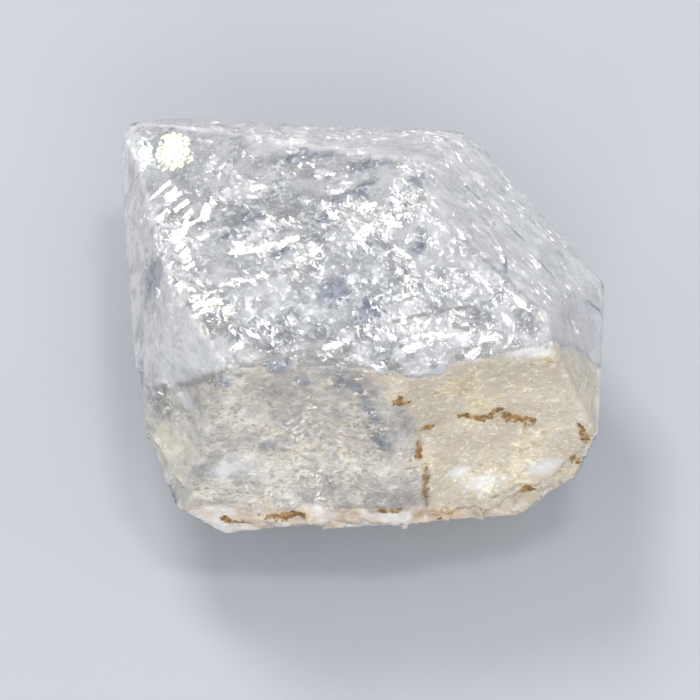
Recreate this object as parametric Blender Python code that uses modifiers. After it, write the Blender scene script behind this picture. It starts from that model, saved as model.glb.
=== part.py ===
"""An elestial quartz crystal: one stubby, doubly ended quartz that lies on a flat prism face.

Its whole faces carry stacked growth plates and triangular etch pits, its two front faces are
conchoidal breaks, and its lower front rim is chipped into ledges.
Lengths in the tables are millimetres and angles are degrees. +X is right, +Y is back, +Z is up, and the
origin is on the resting face, under the middle of the crystal.
"""

import math

import bmesh
import bpy
from mathutils import Matrix, Vector

MM = 0.001
CENTRE = Vector((0.41, -1.57, 10.0)) * MM
BLANK = 80.0 * MM
EDGE_ROUNDING = 0.28 * MM
ROUNDING_SEGMENTS = 2

# Every crystal face by the way it looks out (heading counter-clockwise from +X, then elevation)
# and its distance from CENTRE. The c-axis lies level and points to heading -53.
FACES = {
    "base": (0, -90, 10.0),
    "top": (-66, 80, 9.3),
    "apex_main": (116, 66, 9.6),
    "apex_back": (87, 42, 11.65),
    "apex_left": (-175, 17, 14.5),
    "prism_right": (37, 43, 10.8),
    "end_right": (-4, 26, 14.2),
    "front_left": (-92, 20, 10.4),
    "front_right": (-79, 22, 10.4),
    "prism_left": (-141, 24, 14.2),
    "low_back": (87, -40, 11.05),
    "low_left": (-174, -35, 13.0),
    "low_right": (37, -40, 11.2),
    "low_front_left": (-143, -43, 14.6),
    "low_end_right": (-4, -22, 14.5),
    "low_end": (-42, -40, 15.0),
    "low_front": (-86, -50, 11.7),
}

# Growth plates: the face, the middle of the plate (across, upslope), its share of the face's
# outline, and how far it rises.
PLATES = (
    ("top", 1.5, 0.6, 0.60, 0.22),
    ("top", -3.6, -0.8, 0.26, 0.45),
    ("top", 4.2, -2.2, 0.30, 0.40),
    ("apex_main", -1.6, 1.2, 0.62, 0.20),
    ("apex_main", 2.6, 2.2, 0.34, 0.42),
    ("apex_main", 7.0, -8.0, 0.30, 0.24),
    ("apex_main", -2.2, -1.2, 0.20, 0.36),
    ("apex_back", 1.0, 0.4, 0.66, 0.20),
    ("apex_back", -3.0, 0.8, 0.30, 0.42),
    ("apex_back", 11.0, -8.6, 0.28, 0.24),
    ("apex_left", -1.0, 0.5, 0.55, 0.22),
    ("apex_left", 2.2, 2.8, 0.26, 0.40),
    ("prism_right", 0.6, 0.2, 0.62, 0.20),
    ("prism_right", 1.8, -7.6, 0.34, 0.36),
    ("end_right", 1.0, 1.2, 0.55, 0.22),
    ("prism_left", -0.6, 1.0, 0.50, 0.25),
    ("low_back", -1.5, 0.0, 0.64, 0.30),
    ("low_back", 3.0, 0.4, 0.34, 0.55),
    ("low_back", -4.4, 7.6, 0.22, 0.40),
    ("low_left", 0.8, 0.4, 0.60, 0.30),
    ("low_left", -2.2, -0.4, 0.30, 0.55),
    ("low_left", 3.4, 5.4, 0.26, 0.42),
    ("low_right", 0.5, 0.3, 0.62, 0.30),
    ("low_right", -4.6, 6.4, 0.28, 0.50),
    ("low_front_left", 1.6, 5.2, 0.50, 0.30),
    ("low_end_right", -2.8, 3.6, 0.50, 0.30),
    ("low_end", -0.6, 0.4, 0.55, 0.30),
    ("low_front", -1.5, 0.3, 0.58, 0.28),
    ("low_front", 4.0, 0.2, 0.28, 0.50),
)
PLATE_ROOT = 0.9 * MM
PLATE_WALL_INSET = 0.8

# Conchoidal breaks: the face, the middle (across, upslope), the half-width, the half-height and
# the depth of the shell-shaped hollow.
SCARS = (
    ("front_left", -4.1, -0.6, 6.3, 6.9, 1.05),
    ("front_left", -1.4, 3.6, 4.6, 3.8, 0.85),
    ("front_right", 5.9, -1.1, 6.6, 6.4, 0.95),
    ("front_right", 9.0, 1.4, 4.2, 4.6, 0.80),
    ("prism_left", -1.4, -4.6, 3.2, 4.4, 0.30),
    ("end_right", -0.6, -3.0, 3.6, 3.4, 0.30),
    ("low_end", 1.2, 5.0, 3.4, 3.8, 0.40),
    ("low_back", 9.0, 3.4, 5.0, 4.0, 0.35),
)
SCAR_DETAIL = 5

# Ledges chipped from the edges: the face, the middle (across, upslope), the length, the height,
# the bite and the turn and lean of the ledge's floor.
LEDGES = (
    ("front_left", -6.6, -9.2, 3.0, 1.9, 0.45, 6, -9),
    ("front_left", -3.7, -9.4, 2.3, 1.5, 0.75, -4, -6),
    ("front_left", -1.2, -9.2, 2.1, 2.1, 0.50, 5, -12),
    ("front_left", 1.5, -9.0, 2.7, 1.6, 0.85, -7, -8),
    ("front_right", 2.2, -9.6, 2.6, 1.7, 0.70, 8, -10),
    ("front_right", 4.5, -9.4, 1.9, 2.3, 1.05, -5, -8),
    ("front_right", 6.7, -9.3, 2.4, 1.9, 0.55, 22, -12),
    ("front_right", 8.6, -8.3, 1.9, 2.1, 0.65, 31, -8),
    ("front_right", 10.5, -7.4, 2.3, 1.5, 0.50, 26, -14),
    ("front_right", 12.2, -6.4, 1.8, 2.4, 0.55, 34, -9),
    ("front_right", 13.2, -4.9, 2.2, 1.7, 0.40, 58, -12),
    ("apex_left", 4.0, -4.6, 4.6, 2.6, 0.45, -8, 6),
    ("apex_left", 4.8, -2.2, 1.8, 2.4, 0.30, -12, 4),
    ("prism_left", 1.2, -8.9, 2.6, 1.7, 0.55, -4, -9),
    ("prism_left", -2.0, -8.2, 2.0, 1.4, 0.40, -12, -7),
    ("low_front", -6.0, 6.2, 3.4, 1.6, 0.50, 4, 9),
    ("low_front", -1.0, 6.7, 2.6, 1.4, 0.65, -3, 8),
    ("low_front", 3.6, 6.8, 3.0, 1.8, 0.45, 6, 10),
    ("low_end", 0.5, 8.2, 2.6, 1.8, 0.70, 24, 9),
)
LEDGE_REACH = 3.0

# Triangular etch pits: the face, the middle (across, upslope), the radius and the depth.
PITS = (
    ("top", -0.8, -1.6, 0.95, 0.26),
    ("top", 2.9, -2.6, 0.65, 0.20),
    ("top", -6.4, -1.0, 0.70, 0.22),
    ("top", 5.2, -5.2, 0.80, 0.22),
    ("top", 1.0, 2.2, 0.60, 0.18),
    ("apex_main", -2.2, -3.0, 0.90, 0.24),
    ("apex_main", 0.8, 0.4, 0.70, 0.20),
    ("apex_main", 4.6, -2.6, 0.80, 0.24),
    ("apex_main", 6.4, -9.4, 0.60, 0.20),
    ("apex_main", 8.3, -4.3, 0.60, 0.20),
    ("apex_back", 4.0, -6.8, 0.80, 0.24),
    ("apex_back", 9.0, -8.0, 0.60, 0.20),
    ("apex_left", -6.5, -2.6, 0.75, 0.24),
    ("apex_left", -1.0, -1.6, 0.90, 0.26),
    ("prism_right", 2.6, -6.6, 0.75, 0.22),
    ("prism_right", -4.0, -3.2, 0.60, 0.20),
    ("prism_left", -1.6, 0.6, 0.70, 0.22),
    ("low_back", 2.0, 7.0, 0.90, 0.26),
    ("low_left", -9.0, 4.0, 0.80, 0.24),
    ("low_left", 1.0, 5.2, 0.65, 0.22),
    ("low_right", -2.0, 6.0, 0.80, 0.24),
)
PIT_TURN = 24
PIT_REACH = 1.2
PIT_TAPER = 0.3

MATERIAL_COLOUR = (0.62, 0.61, 0.57, 1.0)
MATERIAL_ROUGHNESS = 0.12
QUARTZ_IOR = 1.544


def clear_scene():
    """Remove the objects that the scene starts with."""
    for thing in list(bpy.data.objects):
        bpy.data.objects.remove(thing, do_unlink=True)


def outward(name):
    """Return the unit normal of a crystal face."""
    heading, elevation = (math.radians(angle) for angle in FACES[name][:2])
    level = math.cos(elevation)
    return Vector((level * math.cos(heading), level * math.sin(heading), math.sin(elevation)))


def face_frame(name):
    """Return the matrix from face coordinates (across, upslope, outward) to the world."""
    normal = outward(name)
    heading = math.radians(FACES[name][0])
    across = Vector((-math.sin(heading), math.cos(heading), 0.0))
    upslope = normal.cross(across)
    turned = Matrix((across, upslope, normal)).transposed().to_4x4()
    return Matrix.Translation(CENTRE + normal * FACES[name][2] * MM) @ turned


def crystal_blank():
    """Cut a block down to the crystal's faces and return it with the corners of each face."""
    blank = bmesh.new()
    bmesh.ops.create_cube(blank, size=BLANK, matrix=Matrix.Translation(CENTRE))
    for name in FACES:
        geometry = blank.verts[:] + blank.edges[:] + blank.faces[:]
        cut = bmesh.ops.bisect_plane(
            blank,
            geom=geometry,
            dist=1e-8,
            plane_co=face_frame(name).translation,
            plane_no=outward(name),
            clear_outer=True,
        )
        rim = [item for item in cut["geom_cut"] if isinstance(item, bmesh.types.BMEdge)]
        bmesh.ops.edgeloop_fill(blank, edges=rim)
    bmesh.ops.recalc_face_normals(blank, faces=blank.faces[:])
    corners = {}
    for name in FACES:
        face = max(blank.faces, key=lambda candidate: candidate.normal.dot(outward(name)))
        corners[name] = [vert.co.copy() for vert in face.verts]
    return blank, corners


def add_object(name, bm, collection, material=None):
    """Turn a bmesh into an object of the collection."""
    mesh = bpy.data.meshes.new(name)
    bm.to_mesh(mesh)
    bm.free()
    thing = bpy.data.objects.new(name, mesh)
    if material:
        mesh.materials.append(material)
    collection.objects.link(thing)
    return thing


def growth_plate(name, corners, focus, share, rise):
    """Return a low plate on a face, with the face's own outline shrunk towards the focus."""
    middle = face_frame(name) @ Vector((focus[0] * MM, focus[1] * MM, 0.0))
    normal = outward(name)
    plate = bmesh.new()
    outline = [middle + (corner - middle) * share for corner in corners]
    root = plate.faces.new([plate.verts.new(point - normal * PLATE_ROOT) for point in outline])
    lifted = bmesh.ops.extrude_face_region(plate, geom=[root])["geom"]
    upper = [item for item in lifted if isinstance(item, bmesh.types.BMVert)]
    centroid = sum(outline, Vector()) / len(outline)
    for vert in upper:
        vert.co += normal * (PLATE_ROOT + rise * MM)
        inward = (centroid - vert.co).normalized()
        inward -= normal * inward.dot(normal)
        vert.co += inward * rise * PLATE_WALL_INSET * MM
    bmesh.ops.recalc_face_normals(plate, faces=plate.faces[:])
    bmesh.ops.triangulate(plate, faces=plate.faces[:])
    return plate


def conchoidal_scar(name, middle, half_width, half_height, depth):
    """Return a flattened ball that hollows a shell-shaped break out of a face."""
    mean = (half_width + half_height) / 2
    radius = (mean**2 + depth**2) / (2 * depth)
    ball = bmesh.new()
    bmesh.ops.create_icosphere(ball, subdivisions=SCAR_DETAIL, radius=radius * MM)
    stretch = Matrix.Diagonal((half_width / mean, half_height / mean, 1.0, 1.0))
    place = Matrix.Translation(Vector((*middle, radius - depth)) * MM)
    ball.transform(face_frame(name) @ place @ stretch)
    return ball


def ledge(name, middle, length, height, bite, turn, lean):
    """Return a block that chips a flat-floored ledge out of a face."""
    block = bmesh.new()
    bmesh.ops.create_cube(block, size=1.0)
    size = Matrix.Diagonal((length * MM, height * MM, LEDGE_REACH * MM, 1.0))
    place = Matrix.Translation(Vector((*middle, LEDGE_REACH / 2 - bite)) * MM)
    turned = Matrix.Rotation(math.radians(turn), 4, "Z") @ Matrix.Rotation(math.radians(lean), 4, "X")
    block.transform(face_frame(name) @ place @ turned @ size)
    return block


def etch_pit(name, middle, radius, depth):
    """Return a tapered three-sided block that sinks a flat-floored pit into a face."""
    block = bmesh.new()
    bmesh.ops.create_cone(
        block,
        cap_ends=True,
        segments=3,
        radius1=(1 - PIT_TAPER) * radius * MM,
        radius2=(1 + PIT_TAPER) * radius * MM,
        depth=(PIT_REACH + depth) * MM,
    )
    turned = Matrix.Rotation(math.radians(PIT_TURN), 4, "Z")
    place = Matrix.Translation(Vector((*middle, (PIT_REACH - depth) / 2)) * MM)
    block.transform(face_frame(name) @ place @ turned)
    return block


def combine(crystal, name, shape, operation, collection):
    """Keep a shape in the collection of tools and join it to, or cut it from, the crystal."""
    tool = add_object(name, shape, collection)
    tool.hide_render = True
    tool.display_type = "WIRE"
    step = crystal.modifiers.new(name, "BOOLEAN")
    step.operation = operation
    step.object = tool
    step.solver = "EXACT"


def quartz():
    """Return the colour, polish and clarity of the quartz."""
    material = bpy.data.materials.new("quartz")
    material.use_nodes = True
    shader = material.node_tree.nodes["Principled BSDF"]
    shader.inputs["Base Color"].default_value = MATERIAL_COLOUR
    shader.inputs["Roughness"].default_value = MATERIAL_ROUGHNESS
    shader.inputs["IOR"].default_value = QUARTZ_IOR
    shader.inputs["Metallic"].default_value = 0.0
    return material


def new_collection(name):
    """Add a collection to the scene."""
    collection = bpy.data.collections.new(name)
    bpy.context.scene.collection.children.link(collection)
    return collection


def main():
    """Build the crystal and the shapes that are joined to it and cut from it."""
    clear_scene()
    parts = new_collection("elestial_quartz")
    tools = new_collection("growth_and_breaks")
    blank, corners = crystal_blank()
    crystal = add_object("quartz_crystal", blank, parts, quartz())
    rounding = crystal.modifiers.new("rounded edges", "BEVEL")
    rounding.width = EDGE_ROUNDING
    rounding.segments = ROUNDING_SEGMENTS
    rounding.limit_method = "NONE"
    crystal.modifiers.new("flat triangles", "TRIANGULATE")
    for index, (name, across, upslope, *shape) in enumerate(PLATES):
        plate = growth_plate(name, corners[name], (across, upslope), *shape)
        combine(crystal, f"plate_{index:02d}_{name}", plate, "UNION", tools)
    for kind, make, table in (
        ("scar", conchoidal_scar, SCARS),
        ("ledge", ledge, LEDGES),
        ("pit", etch_pit, PITS),
    ):
        for index, (name, across, upslope, *shape) in enumerate(table):
            cutter = make(name, (across, upslope), *shape)
            combine(crystal, f"{kind}_{index:02d}_{name}", cutter, "DIFFERENCE", tools)


main()
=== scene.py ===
import functools
import math
from collections import namedtuple

import bpy
import numpy as np
from bpy.props import FloatProperty, FloatVectorProperty, IntProperty, PointerProperty
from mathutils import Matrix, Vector


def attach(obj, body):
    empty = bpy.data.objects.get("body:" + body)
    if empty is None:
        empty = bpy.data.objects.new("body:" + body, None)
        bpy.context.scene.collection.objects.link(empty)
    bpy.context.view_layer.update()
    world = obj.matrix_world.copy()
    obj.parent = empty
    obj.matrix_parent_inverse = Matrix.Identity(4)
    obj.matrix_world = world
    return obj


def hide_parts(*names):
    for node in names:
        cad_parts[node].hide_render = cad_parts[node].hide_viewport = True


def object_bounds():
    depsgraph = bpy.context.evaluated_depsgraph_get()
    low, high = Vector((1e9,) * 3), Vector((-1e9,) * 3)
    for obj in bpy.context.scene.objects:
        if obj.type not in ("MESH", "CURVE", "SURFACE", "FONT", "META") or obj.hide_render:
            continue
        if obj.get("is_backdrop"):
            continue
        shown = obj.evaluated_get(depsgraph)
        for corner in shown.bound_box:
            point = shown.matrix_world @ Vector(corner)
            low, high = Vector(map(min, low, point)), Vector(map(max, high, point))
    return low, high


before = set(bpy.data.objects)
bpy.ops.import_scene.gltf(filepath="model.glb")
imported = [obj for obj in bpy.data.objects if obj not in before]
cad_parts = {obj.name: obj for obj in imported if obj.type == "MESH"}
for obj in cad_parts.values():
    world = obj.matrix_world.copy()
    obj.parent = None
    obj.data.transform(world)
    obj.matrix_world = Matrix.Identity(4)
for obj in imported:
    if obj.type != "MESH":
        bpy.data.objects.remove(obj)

bl_info = {
    "name": "Elestial Quartz",
    "version": (1, 0, 0),
    "blender": (4, 5, 0),
    "location": "3D View > Sidebar > Quartz",
    "description": "Grows an elestial quartz crystal with its plates, breaks, veils and stains",
    "category": "Add Mesh",
}

# Lengths in this file are millimetres until a mesh, light or camera is made from them.
MM = 0.001
CAD_LOW, CAD_HIGH = (np.array(corner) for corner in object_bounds())
CRYSTAL_NODE = "quartz_crystal"
BODY = "root"

# The crystal's faces as the solid has them: the way each looks out (heading counter-clockwise
# from +X, then elevation, in degrees) and its distance from the crystal's centre.
CENTRE = np.array([0.41, -1.57, 10.0])
FACES = {
    "base": (0, -90, 10.0),
    "top": (-66, 80, 9.3),
    "apex_main": (116, 66, 9.6),
    "apex_back": (87, 42, 11.65),
    "apex_left": (-175, 17, 14.5),
    "prism_right": (37, 43, 10.8),
    "end_right": (-4, 26, 14.2),
    "front_left": (-92, 20, 10.4),
    "front_right": (-79, 22, 10.4),
    "prism_left": (-141, 24, 14.2),
    "low_back": (87, -40, 11.05),
    "low_left": (-174, -35, 13.0),
    "low_right": (37, -40, 11.2),
    "low_front_left": (-143, -43, 14.6),
    "low_end_right": (-4, -22, 14.5),
    "low_end": (-42, -40, 15.0),
    "low_front": (-86, -50, 11.7),
}
FACE_NAMES = list(FACES)
BROKEN_FACES = ("front_left", "front_right")
UPPER_FACES = ("top", "apex_main", "apex_back", "apex_left", "prism_right", "end_right")
GROWN_FACES = UPPER_FACES + ("prism_left",)
LOWER_FACES = ("low_back", "low_left", "low_right", "low_front_left", "low_end_right", "low_end")
# A plane whose normal gives less than this share of a direction is not met, and counts as far.
LEAST_FACING, FAR = 0.05, 1e3
# Planes met no further than this behind the nearest one get their relief.
RELIEF_REACH = 2.5
# Rings in the shell-shaped hollows and steps along the ridge at the point: how high, how wide.
RING_HEIGHT, RING_WIDTH = 0.035, 1.7
STEP_HEIGHT, STEP_WIDTH = 0.09, 0.62
# The way the steps climb (across, upslope), and how far from the ridge they fade and end.
STEP_WAY, STEP_FADE = (0.52, 0.85), (1.6, 2.6)
# The broken rim's grain fades over these heights up the broken faces, and begins over these places
# across the left one.
RIM_TOP, RIM_LEFT = (-8.6, -6.0), (-8.0, -6.2)
# The crystal's surface, as crystal_shell describes it.
Shell = namedtuple("Shell", "cells quads points radii order gap")
# The cube net's sides in order: the axis each faces, its sign, and the axes its rows and columns
# run along.
SIDES = ((0, 1, 1, 2), (0, -1, 2, 1), (1, 1, 2, 0), (1, -1, 0, 2), (2, 1, 0, 1), (2, -1, 1, 0))

# Growth plates: the face, the middle of the plate (across, upslope), its share of the face's
# outline, and how far it rises.
PLATES = (
    ("top", 1.5, 0.6, 0.60, 0.22),
    ("top", -3.6, -0.8, 0.26, 0.45),
    ("top", 4.2, -2.2, 0.30, 0.40),
    ("apex_main", -1.6, 1.2, 0.62, 0.20),
    ("apex_main", 2.6, 2.2, 0.34, 0.42),
    ("apex_main", 7.0, -8.0, 0.30, 0.24),
    ("apex_main", -2.2, -1.2, 0.20, 0.36),
    ("apex_back", 1.0, 0.4, 0.66, 0.20),
    ("apex_back", -3.0, 0.8, 0.30, 0.42),
    ("apex_back", 11.0, -8.6, 0.28, 0.24),
    ("apex_left", -1.0, 0.5, 0.55, 0.22),
    ("apex_left", 2.2, 2.8, 0.26, 0.40),
    ("prism_right", 0.6, 0.2, 0.62, 0.20),
    ("prism_right", 1.8, -7.6, 0.34, 0.36),
    ("end_right", 1.0, 1.2, 0.55, 0.22),
    ("prism_left", -0.6, 1.0, 0.50, 0.25),
    ("low_back", -1.5, 0.0, 0.64, 0.30),
    ("low_back", 3.0, 0.4, 0.34, 0.55),
    ("low_back", -4.4, 7.6, 0.22, 0.40),
    ("low_left", 0.8, 0.4, 0.60, 0.30),
    ("low_left", -2.2, -0.4, 0.30, 0.55),
    ("low_left", 3.4, 5.4, 0.26, 0.42),
    ("low_right", 0.5, 0.3, 0.62, 0.30),
    ("low_right", -4.6, 6.4, 0.28, 0.50),
    ("low_front_left", 1.6, 5.2, 0.50, 0.30),
    ("low_end_right", -2.8, 3.6, 0.50, 0.30),
    ("low_end", -0.6, 0.4, 0.55, 0.30),
    ("low_front", -1.5, 0.3, 0.58, 0.28),
    ("low_front", 4.0, 0.2, 0.28, 0.50),
)

# Conchoidal breaks: the face, the middle (across, upslope), the half-width, the half-height and
# the depth of the shell-shaped hollow.
SCARS = (
    ("front_left", -4.1, -0.6, 6.3, 6.9, 1.05),
    ("front_left", -1.4, 3.6, 4.6, 3.8, 0.85),
    ("front_right", 5.9, -1.1, 6.6, 6.4, 0.95),
    ("front_right", 9.0, 1.4, 4.2, 4.6, 0.80),
    ("prism_left", -1.4, -4.6, 3.2, 4.4, 0.30),
    ("end_right", -0.6, -3.0, 3.6, 3.4, 0.30),
    ("low_end", 1.2, 5.0, 3.4, 3.8, 0.40),
    ("low_back", 9.0, 3.4, 5.0, 4.0, 0.35),
)

# Ledges chipped from the edges: the face, the middle (across, upslope), the length, the height,
# the bite and the turn and lean of the ledge's floor.
LEDGES = (
    ("front_left", -6.6, -9.2, 3.0, 1.9, 0.45, 6, -9),
    ("front_left", -3.7, -9.4, 2.3, 1.5, 0.75, -4, -6),
    ("front_left", -1.2, -9.2, 2.1, 2.1, 0.50, 5, -12),
    ("front_left", 1.5, -9.0, 2.7, 1.6, 0.85, -7, -8),
    ("front_right", 2.2, -9.6, 2.6, 1.7, 0.70, 8, -10),
    ("front_right", 4.5, -9.4, 1.9, 2.3, 1.05, -5, -8),
    ("front_right", 6.7, -9.3, 2.4, 1.9, 0.55, 22, -12),
    ("front_right", 8.6, -8.3, 1.9, 2.1, 0.65, 31, -8),
    ("front_right", 10.5, -7.4, 2.3, 1.5, 0.50, 26, -14),
    ("front_right", 12.2, -6.4, 1.8, 2.4, 0.55, 34, -9),
    ("front_right", 13.2, -4.9, 2.2, 1.7, 0.40, 58, -12),
    ("apex_left", 4.0, -4.6, 4.6, 2.6, 0.45, -8, 6),
    ("apex_left", 4.8, -2.2, 1.8, 2.4, 0.30, -12, 4),
    ("prism_left", 1.2, -8.9, 2.6, 1.7, 0.55, -4, -9),
    ("prism_left", -2.0, -8.2, 2.0, 1.4, 0.40, -12, -7),
    ("low_front", -6.0, 6.2, 3.4, 1.6, 0.50, 4, 9),
    ("low_front", -1.0, 6.7, 2.6, 1.4, 0.65, -3, 8),
    ("low_front", 3.6, 6.8, 3.0, 1.8, 0.45, 6, 10),
    ("low_end", 0.5, 8.2, 2.6, 1.8, 0.70, 24, 9),
)

# Triangular etch pits: the face, the middle (across, upslope), the radius and the depth.
PITS = (
    ("top", -0.8, -1.6, 0.95, 0.26),
    ("top", 2.9, -2.6, 0.65, 0.20),
    ("top", -6.4, -1.0, 0.70, 0.22),
    ("top", 5.2, -5.2, 0.80, 0.22),
    ("top", 1.0, 2.2, 0.60, 0.18),
    ("apex_main", -2.2, -3.0, 0.90, 0.24),
    ("apex_main", 0.8, 0.4, 0.70, 0.20),
    ("apex_main", 4.6, -2.6, 0.80, 0.24),
    ("apex_main", 6.4, -9.4, 0.60, 0.20),
    ("apex_main", 8.3, -4.3, 0.60, 0.20),
    ("apex_back", 4.0, -6.8, 0.80, 0.24),
    ("apex_back", 9.0, -8.0, 0.60, 0.20),
    ("apex_left", -6.5, -2.6, 0.75, 0.24),
    ("apex_left", -1.0, -1.6, 0.90, 0.26),
    ("prism_right", 2.6, -6.6, 0.75, 0.22),
    ("prism_right", -4.0, -3.2, 0.60, 0.20),
    ("prism_left", -1.6, 0.6, 0.70, 0.22),
    ("low_back", 2.0, 7.0, 0.90, 0.26),
    ("low_left", -9.0, 4.0, 0.80, 0.24),
    ("low_left", 1.0, 5.2, 0.65, 0.22),
    ("low_right", -2.0, 6.0, 0.80, 0.24),
)
PIT_TURN = 24

# The photograph's view: how steeply it looks down, from how far, at which point, and how much of
# the crystal one of its 700 pixels covers.
VIEW_ELEVATION = math.radians(62.0)
VIEW_DISTANCE = 250.0
VIEW_TARGET = np.array([-0.59, -2.77, 9.0])
TO_VIEW = np.array([0.0, -math.cos(VIEW_ELEVATION), math.sin(VIEW_ELEVATION)])
VIEW_FORWARD = -TO_VIEW
VIEW_UP = np.array([0.0, math.sin(VIEW_ELEVATION), math.cos(VIEW_ELEVATION)])
VIEW_RIGHT = np.array([1.0, 0.0, 0.0])
VIEW_START = VIEW_TARGET - VIEW_FORWARD * VIEW_DISTANCE
PHOTO_PIXELS = 700
MM_PER_PIXEL = 0.066
SENSOR_WIDTH = 36.0
# How far below the surface every corner of a flake stays, how deep the flakes' middles lie, and
# how much of a window may lie over the flakes that are kept.
FLAKE_MARGIN = 0.05
VEIL_DEPTHS = (0.25, 4.0)
GLINT_DEPTHS = (0.18, 1.6)
CLAY_DEPTHS = (0.25, 4.0)
WINDOW_EDGE = 0.35
# Directions tried for each point that is wanted below some of the faces.
TRIES = 6
# Films in a window and in a single growth plane: so many, and so many more for each square
# millimetre of its half-length times its half-width.
WINDOW_FILMS = (24, 48)
PLANE_FILMS = (12, 26)
QUARTZ_IOR = 1.544
# The crystal's point, which is worn rounder than its other corners.
POINT_PIXEL = (124, 121)
POINT_BLEND = 0.60
POINT_REACH = 3.0
# The upper ridges are rounder than the broken edges.
RIDGE_BLEND = 0.14

# Iron-brown stains as the photograph shows them: the pixel of the middle, the half-length and
# half-width in millimetres, and the turn in degrees.
STAINS = (
    ((478, 427), 1.35, 0.40, -22),
    ((514, 425), 1.75, 0.50, -22),
    ((500, 419), 0.80, 0.32, 20),
    ((431, 434), 0.75, 0.22, 6),
    ((420, 454), 0.34, 0.95, 0),
    ((426, 484), 0.30, 1.30, -6),
    ((401, 403), 0.75, 0.40, -45),
    ((583, 434), 0.34, 1.10, 24),
    ((576, 463), 0.34, 0.85, 35),
    ((528, 495), 0.70, 0.34, 10),
    ((391, 511), 0.85, 0.24, 0),
    ((284, 516), 1.80, 0.36, 4),
    ((232, 521), 0.90, 0.30, -20),
    ((455, 518), 1.00, 0.26, 6),
)

# Cracks and step edges that read as lines in the photograph: pixels along each, the half-width in
# millimetres and the strength. The lines along the step at the clay's upper edge and along the
# crease across the upper face are painted shade.
CRACK_AND_SHADE_LINES = (
    (((395, 321), (430, 313), (472, 306)), 0.055, 1.0),
    (((455, 326), (466, 329), (477, 331)), 0.045, 1.0),
    (((410, 398), (416, 440), (421, 470), (427, 505)), 0.060, 0.9),
    (((345, 362), (372, 378), (400, 400), (410, 420)), 0.040, 0.5),
    (((523, 432), (545, 442), (566, 446)), 0.035, 0.7),
    # These three, along the step at the clay's upper edge, are painted shade.
    (((141, 391), (165, 386), (190, 383), (215, 374)), 0.050, 0.8),
    (((255, 362), (272, 358), (300, 352), (340, 357), (362, 366)), 0.060, 0.7),
    (((365, 372), (400, 376), (440, 378)), 0.045, 0.5),
    (((183, 437), (225, 443), (262, 456), (300, 458)), 0.060, 0.6),
    # Painted shade along the crease across the upper face.
    (((173, 296), (216, 287), (241, 287), (316, 256), (360, 233)), 0.080, 0.45),
    (((262, 503), (300, 505), (345, 508), (400, 505)), 0.050, 0.6),
    (((495, 497), (520, 485), (545, 496)), 0.045, 0.6),
)

# Milky clouds: the pixel of the middle, the half-length and half-width in millimetres, and the turn.
CLOUDS = (
    ((232, 472), 2.1, 0.9, -8),
    ((186, 398), 0.9, 0.5, 10),
    ((180, 398), 1.6, 0.7, -8),
    ((461, 477), 0.6, 0.4, 0),
    ((482, 485), 1.2, 0.5, 0),
    ((546, 468), 1.0, 0.45, 18),
    ((530, 356), 1.3, 0.35, 8),
    ((538, 359), 0.8, 0.30, 0),
)

# Healed breaks that lie flat below the surface and read as slate-grey windows: the pixel, the
# half-length and half-width in millimetres, the turn in degrees and the depth. Their slate grey is
# painted shade: grey films stand for the dark seen through the clear quartz.
WINDOWS = (
    ((299, 153), 1.40, 0.50, -4, 0.3),
    ((336, 149), 1.00, 0.42, -6, 0.3),
    ((371, 164), 1.30, 0.46, -14, 0.3),
    ((364, 187), 1.00, 0.42, 24, 0.3),
    ((340, 196), 0.80, 0.34, -8, 0.3),
    ((247, 217), 0.90, 0.55, -8, 0.5),
    ((332, 291), 1.05, 0.80, -4, 0.4),
    ((366, 311), 0.80, 0.50, 42, 0.3),
    ((153, 277), 2.20, 1.25, 78, 0.25),
    ((418, 176), 0.70, 0.30, 20, 0.4),
    ((283, 252), 0.70, 0.40, 20, 0.4),
    ((420, 245), 0.70, 0.34, 35, 0.5),
    ((505, 262), 1.10, 0.22, -48, 0.3),
    ((226, 236), 0.60, 0.30, 10, 0.4),
    ((325, 217), 0.60, 0.40, 40, 0.4),
    ((276, 372), 0.85, 0.38, 10, 0.3),
    ((304, 388), 0.80, 0.36, -24, 0.3),
    ((226, 386), 0.45, 0.62, 30, 0.3),
    ((343, 376), 0.80, 0.42, -50, 0.3),
    ((356, 398), 0.90, 0.44, -44, 0.3),
    ((372, 418), 0.90, 0.42, -50, 0.3),
    ((382, 444), 0.80, 0.40, -60, 0.4),
    ((268, 456), 0.75, 0.34, -20, 0.3),
    ((470, 190), 0.80, 0.16, 8, 0.3),
    ((515, 232), 0.90, 0.12, 12, 0.3),
    ((545, 268), 0.80, 0.12, 6, 0.3),
    ((595, 306), 0.12, 0.90, 0, 0.3),
)

# Where the glints crowd in the photograph: the pixel of the middle, the half-length and half-width in
# millimetres, and the turn in degrees.
GLINT_BANDS = (
    ((165, 235), 4.6, 1.4, -66),
    ((285, 243), 6.0, 1.5, 10),
    ((208, 318), 2.4, 1.8, 0),
    ((445, 328), 6.0, 1.3, 4),
    ((400, 215), 2.6, 1.8, 0),
    ((235, 182), 1.8, 1.3, -30),
    ((500, 300), 2.2, 1.3, -45),
)

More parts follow.
